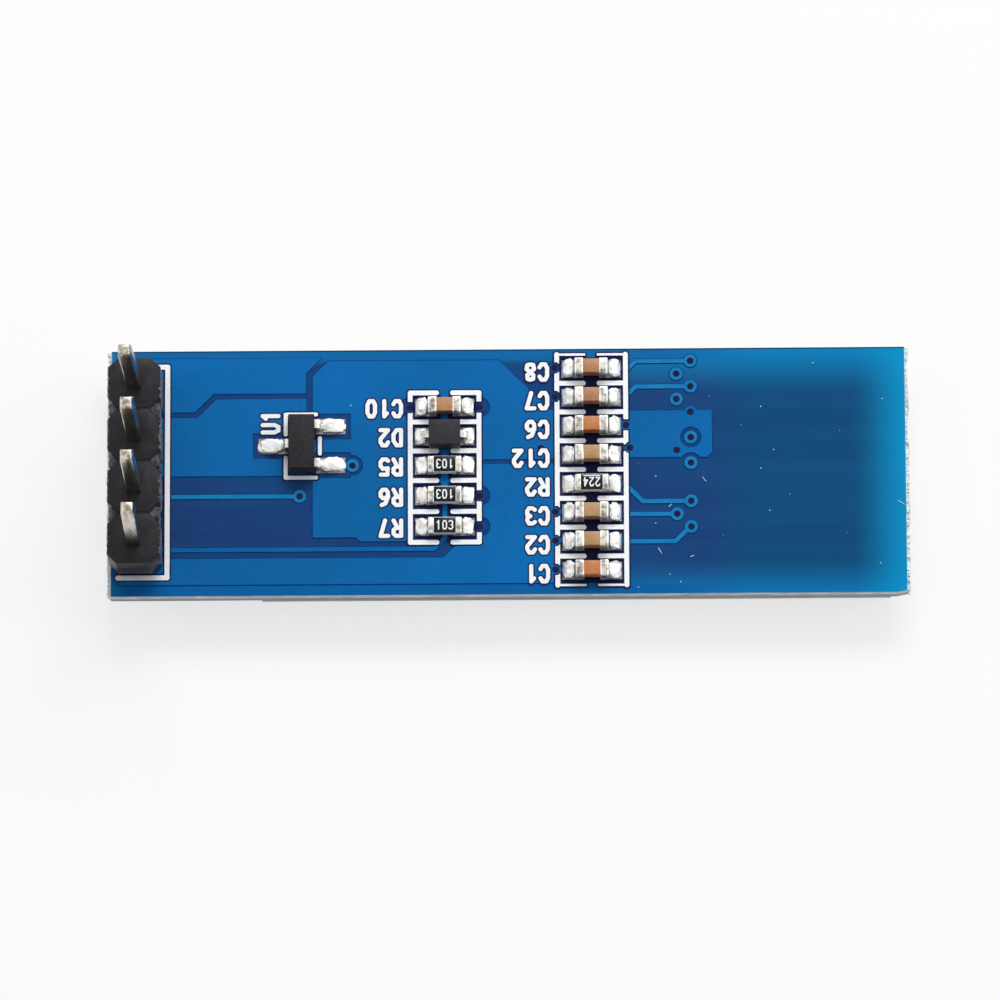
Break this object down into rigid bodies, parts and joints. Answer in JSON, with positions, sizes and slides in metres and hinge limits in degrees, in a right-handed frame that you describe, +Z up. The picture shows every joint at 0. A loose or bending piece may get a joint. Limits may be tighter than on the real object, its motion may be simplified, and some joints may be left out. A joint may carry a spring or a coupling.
{
  "type": "small oled display module",
  "caption": "Narrow blue circuit board with a glass display panel on one face, chip parts on the other and an upright pin header at one end.",
  "frame": {"origin": "centre of the board's outline, on the plane of the display's front face, which the module rests on", "axes": "+X along the board away from the pin header, +Y across the board, +Z up, away from the display's front face and along the header pins"},
  "size_m": [0.0384, 0.012, 0.012],
  "materials": {
    "laminate": "matt glass fibre laminate with rough snapped ends",
    "copper": "bare copper under the mask",
    "solder_mask": "glossy translucent blue film",
    "legend": "white printed ink",
    "housing": "black moulded plastic",
    "pin": "tin-plated brass",
    "solder": "bright lumpy solder",
    "lead": "tin-plated lead frame",
    "moulding": "matt black moulding compound",
    "capacitor_ceramic": "brown fired ceramic",
    "resistor_ceramic": "white alumina",
    "end_metal": "tinned end metal",
    "overcoat": "black glaze",
    "panel_glass": "polished thin glass",
    "polarizer": "dark glossy polarising film",
    "emitting_film": "dark thin film",
    "silicon": "bare silicon",
    "foam": "black foam tape",
    "flex_film": "amber polyimide film",
    "gold": "gold-plated copper"
  },
  "bodies": {
    "root": {"circuit_board": "laminate", "plated_barrels": "copper", "back_copper": "copper", "back_solder_mask": "solder_mask", "back_legend": "legend", "front_copper": "copper", "front_solder_mask": "solder_mask", "header_housing": "housing", "header_joints": "solder", "header_pin_1": "pin", "header_pin_2": "pin", "header_pin_3": "pin", "header_pin_4": "pin", "regulator_body": "moulding", "regulator_leads": "lead", "regulator_joints": "solder", "diode_body": "moulding", "diode_leads": "lead", "diode_joints": "solder", "capacitor_1_body": "capacitor_ceramic", "capacitor_1_ends": "end_metal", "capacitor_2_body": "capacitor_ceramic", "capacitor_2_ends": "end_metal", "capacitor_3_body": "capacitor_ceramic", "capacitor_3_ends": "end_metal", "capacitor_4_body": "capacitor_ceramic", "capacitor_4_ends": "end_metal", "capacitor_5_body": "capacitor_ceramic", "capacitor_5_ends": "end_metal", "capacitor_6_body": "capacitor_ceramic", "capacitor_6_ends": "end_metal", "capacitor_7_body": "capacitor_ceramic", "capacitor_7_ends": "end_metal", "capacitor_8_body": "capacitor_ceramic", "capacitor_8_ends": "end_metal", "resistor_1_body": "resistor_ceramic", "resistor_1_ends": "end_metal", "resistor_1_overcoat": "overcoat", "resistor_2_body": "resistor_ceramic", "resistor_2_ends": "end_metal", "resistor_2_overcoat": "overcoat", "resistor_3_body": "resistor_ceramic", "resistor_3_ends": "end_metal", "resistor_3_overcoat": "overcoat", "resistor_4_body": "resistor_ceramic", "resistor_4_ends": "end_metal", "resistor_4_overcoat": "overcoat", "chip_joints": "solder", "polarizer": "polarizer", "substrate_glass": "panel_glass", "cap_glass": "panel_glass", "emitting_film": "emitting_film", "driver_chip": "silicon", "foam_tape": "foam", "flex_tail": "flex_film", "flex_contacts": "gold", "flex_joints": "solder"}
  },
  "joints": []
}
